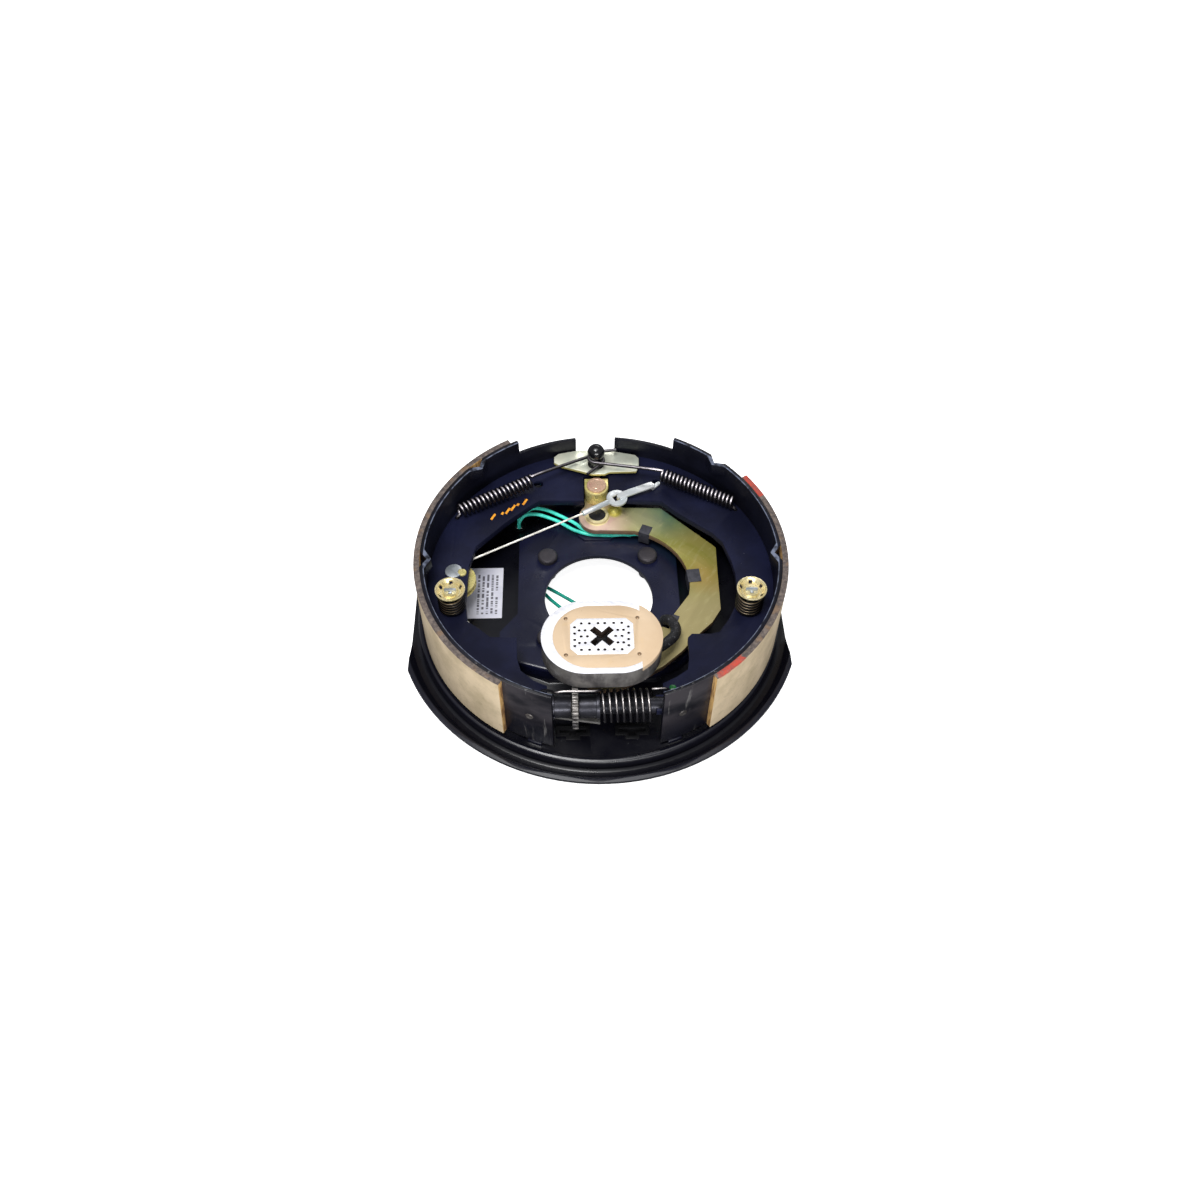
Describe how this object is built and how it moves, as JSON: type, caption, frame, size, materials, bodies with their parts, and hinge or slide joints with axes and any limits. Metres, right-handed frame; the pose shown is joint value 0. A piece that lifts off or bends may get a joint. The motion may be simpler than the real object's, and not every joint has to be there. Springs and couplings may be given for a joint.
{
  "type": "electric trailer drum brake",
  "caption": "Duo-servo electric trailer brake on a pressed backing plate: two lined shoes, magnet on a swinging arm, cable-worked adjuster, studs for the axle flange.",
  "frame": {"origin": "centre of the mounting face on the back of the plate, on the axis of the hub hole and of the studs", "axes": "+Z along the wheel axis, out of the open side; +Y towards the anchor post; +X towards the primary shoe"},
  "size_m": [0.2636, 0.2842, 0.0747],
  "materials": {
    "black_paint": "semi-gloss black",
    "stud_steel": "black oxide",
    "black_steel": "gloss black",
    "pale_zinc": "pale yellow zinc",
    "gold_zinc": "yellow zinc chromate",
    "pink_zinc": "yellow zinc chromate",
    "bare_steel": "bright zinc",
    "spring_steel": "black phosphate",
    "adjuster_steel": "dark phosphate",
    "lining": "moulded friction material",
    "rubber": "matte",
    "paper": "paper label",
    "lead_insulation": "gloss",
    "sleeve": "braided",
    "clip_plastic": "matte",
    "magnet_shell": "bright zinc",
    "magnet_core": "bright zinc",
    "copper": "enamelled wire",
    "magnet_friction": "moulded friction material"
  },
  "bodies": {
    "backing": {"backing_plate": "black_paint", "mounting_studs": "stud_steel", "anchor_post": "black_steel", "anchor_plate": "pale_zinc", "arm_pivot_pin": "stud_steel", "lead_grommet": "rubber", "label": "paper", "slot_plugs": "rubber", "hold_down_pin_right": "bare_steel", "hold_down_pin_left": "bare_steel", "hold_down_spring_right": "spring_steel", "hold_down_spring_left": "spring_steel", "hold_down_cup_right": "gold_zinc", "hold_down_cup_left": "gold_zinc", "free_lead_upper": "lead_insulation", "free_lead_lower": "lead_insulation"},
    "arm": {"actuating_arm": "gold_zinc", "arm_block": "gold_zinc", "block_rivet": "pink_zinc", "wire_clips": "clip_plastic", "magnet_post": "stud_steel", "magnet_retainer": "black_steel", "magnet_spring": "spring_steel", "magnet_lead_upper": "lead_insulation", "magnet_lead_lower": "lead_insulation", "wire_sleeve": "sleeve"},
    "magnet": {"magnet_housing": "magnet_shell", "magnet_core": "magnet_core", "magnet_coil": "copper", "magnet_face": "magnet_friction"},
    "secondary_shoe": {"secondary_table": "black_paint", "secondary_web": "black_paint", "secondary_lining": "lining", "return_spring_left": "spring_steel", "adjuster_socket": "adjuster_steel", "lever_pin": "stud_steel", "cable_guide": "gold_zinc", "cable_guide_pin": "bare_steel", "adjuster_cable": "bare_steel", "adjuster_spring": "spring_steel"},
    "screw": {"star_screw": "adjuster_steel"},
    "nut": {"adjuster_nut": "adjuster_steel"},
    "primary_shoe": {"primary_table": "black_paint", "primary_web": "black_paint", "primary_lining": "lining", "return_spring_right": "spring_steel", "cable_hook": "bare_steel", "cable_eyelet": "bare_steel"},
    "lever": {"adjuster_lever": "bare_steel", "cable_end_loop": "bare_steel", "lever_spring": "spring_steel"}
  },
  "joints": [
    {"name": "arm_swing", "type": "hinge", "parent": "backing", "child": "arm", "pos_m": [0.0003, 0.065, 0.0138], "axis": [0, 0, 1], "range_deg": [-4, 0], "deforming": ["magnet_lead_upper", "magnet_lead_lower"]},
    {"name": "magnet_slide", "type": "slide", "parent": "arm", "child": "magnet", "axis": [0, 0, 1], "range_m": [-0.0025, 0], "stiffness_N_per_m": 2000, "springref_m": 0.005, "deforming": ["magnet_spring", "wire_sleeve"]},
    {"name": "secondary_shoe_swing", "type": "hinge", "parent": "backing", "child": "secondary_shoe", "pos_m": [0.0003, 0.105, 0.0236], "axis": [0, 0, 1], "range_deg": [-0.25, 0], "deforming": ["return_spring_left", "adjuster_cable"]},
    {"name": "star_wheel_turn", "type": "hinge", "parent": "secondary_shoe", "child": "screw", "pos_m": [-0.0177, -0.1035, 0.0236], "axis": [1, 0, 0], "range_deg": [0, 720]},
    {"name": "adjuster_extend", "type": "slide", "parent": "secondary_shoe", "child": "nut", "axis": [1, 0, 0], "range_m": [0, 0.0025], "deforming": ["adjuster_spring"]},
    {"name": "primary_shoe_swing", "type": "hinge", "parent": "nut", "child": "primary_shoe", "pos_m": [0.037, -0.1035, 0.0236], "axis": [0, 0, 1], "range_deg": [-0.5, 0], "deforming": ["return_spring_right"]},
    {"name": "adjuster_lever_swing", "type": "hinge", "parent": "secondary_shoe", "child": "lever", "pos_m": [-0.045, -0.097, 0.0078], "axis": [0, 0, 1], "range_deg": [0, 3], "stiffness_Nm_per_rad": 0.05, "springref_deg": -2.86, "deforming": ["lever_spring"]}
  ],
  "couplings": [
    {"joint": "secondary_shoe_swing", "follows": "arm_swing", "ratio": 0.0625},
    {"joint": "primary_shoe_swing", "follows": "arm_swing", "ratio": 0.125},
    {"joint": "star_wheel_turn", "follows": "adjuster_extend", "rad_per_m": 5026.5}
  ]
}
